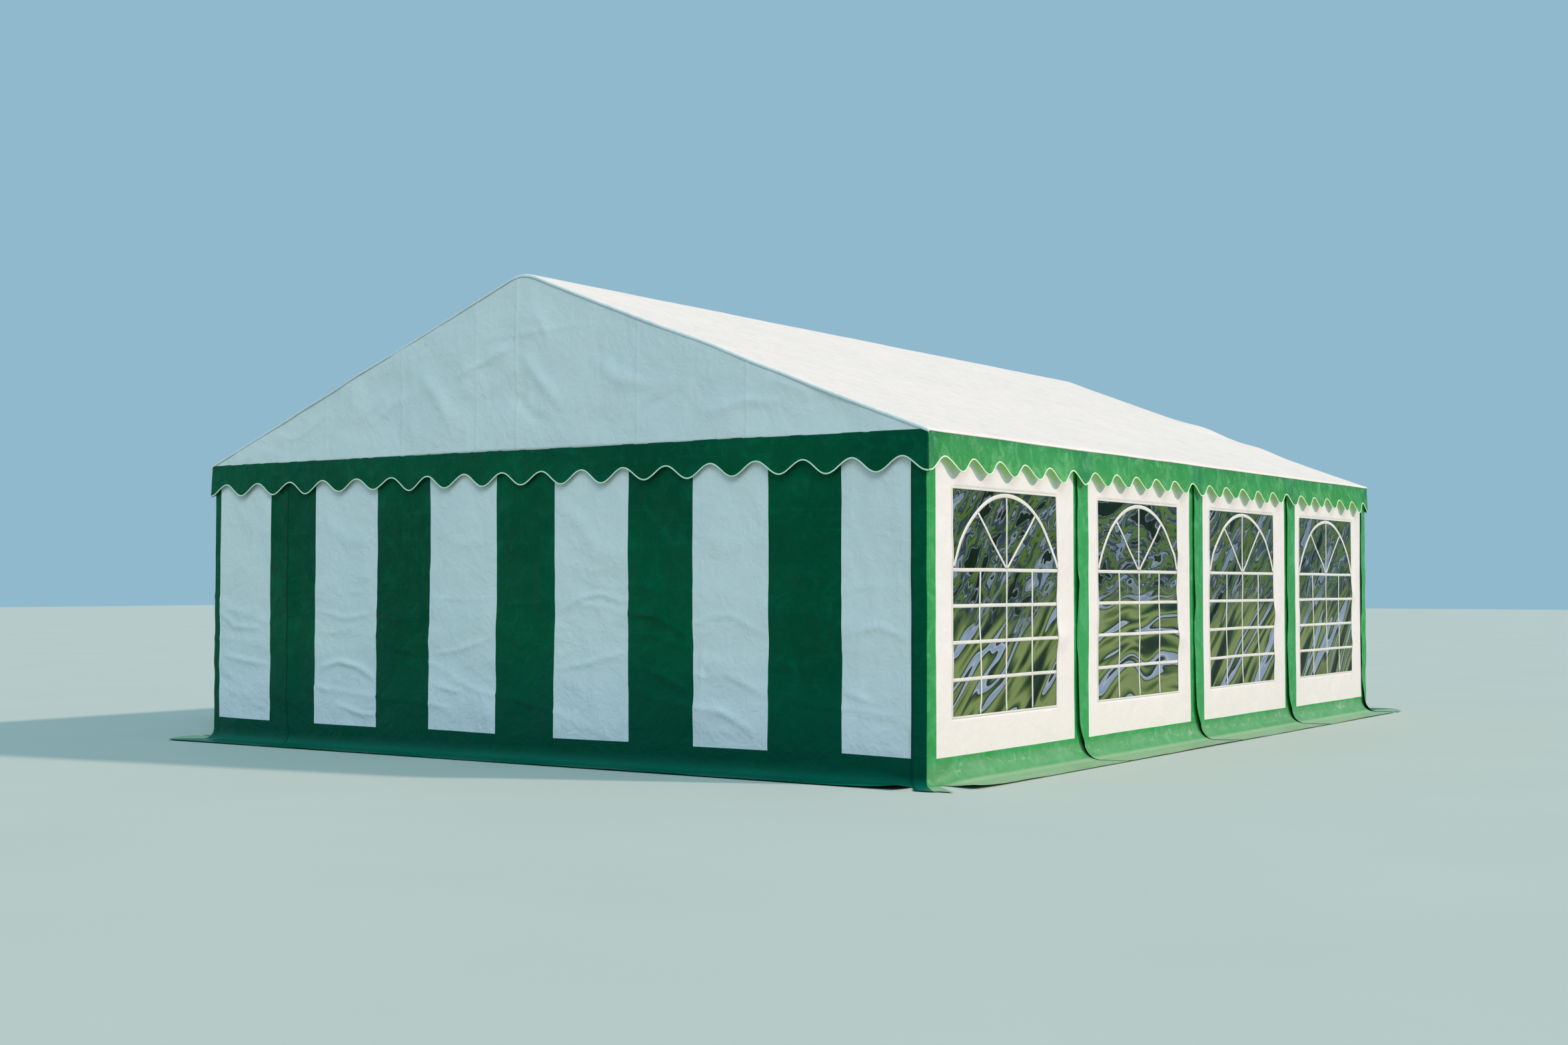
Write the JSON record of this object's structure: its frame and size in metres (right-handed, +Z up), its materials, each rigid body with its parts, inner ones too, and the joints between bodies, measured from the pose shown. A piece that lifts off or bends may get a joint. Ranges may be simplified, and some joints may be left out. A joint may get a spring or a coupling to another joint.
{
  "type": "marquee tent",
  "caption": "Free-standing rectangular frame marquee with a pitched fabric roof, scalloped valances, striped gable walls with zip doors, and side walls with arched windows.",
  "frame": {"origin": "on the ground, at the middle of the tent's plan", "axes": "+Z up, X across the tent under the ridge, Y along the ridge, front gable at -Y"},
  "size_m": [6.6738, 8.5054, 3.1674],
  "materials": {
    "white_fabric": "satin coated cloth",
    "striped_fabric": "satin coated cloth with green and white stripes",
    "green_fabric": "satin coated cloth",
    "clear_film": "clear flexible film",
    "galvanised_steel": "galvanised tube"
  },
  "bodies": {
    "root": {"front_door": "striped_fabric", "front_door_post_left": "galvanised_steel", "front_door_post_right": "galvanised_steel", "front_edge_wall": "striped_fabric", "front_gable": "white_fabric", "front_left_wall": "striped_fabric", "front_right_wall": "striped_fabric", "front_valance": "green_fabric", "left_eave_rail": "galvanised_steel", "left_mid_rail": "galvanised_steel", "left_valance": "green_fabric", "left_wall_1": "striped_fabric", "left_wall_2": "striped_fabric", "left_wall_3": "striped_fabric", "left_wall_4": "striped_fabric", "left_window_1": "clear_film", "left_window_2": "clear_film", "left_window_3": "clear_film", "left_window_4": "clear_film", "rear_door": "striped_fabric", "rear_door_post_left": "galvanised_steel", "rear_door_post_right": "galvanised_steel", "rear_edge_wall": "striped_fabric", "rear_gable": "white_fabric", "rear_left_wall": "striped_fabric", "rear_right_wall": "striped_fabric", "rear_valance": "green_fabric", "ridge_rail": "galvanised_steel", "right_eave_rail": "galvanised_steel", "right_mid_rail": "galvanised_steel", "right_valance": "green_fabric", "right_wall_1": "striped_fabric", "right_wall_2": "striped_fabric", "right_wall_3": "striped_fabric", "right_wall_4": "striped_fabric", "right_window_1": "clear_film", "right_window_2": "clear_film", "right_window_3": "clear_film", "right_window_4": "clear_film", "roof_cover": "white_fabric", "truss_1": "galvanised_steel", "truss_2": "galvanised_steel", "truss_3": "galvanised_steel", "truss_4": "galvanised_steel", "truss_5": "galvanised_steel"}
  },
  "joints": []
}
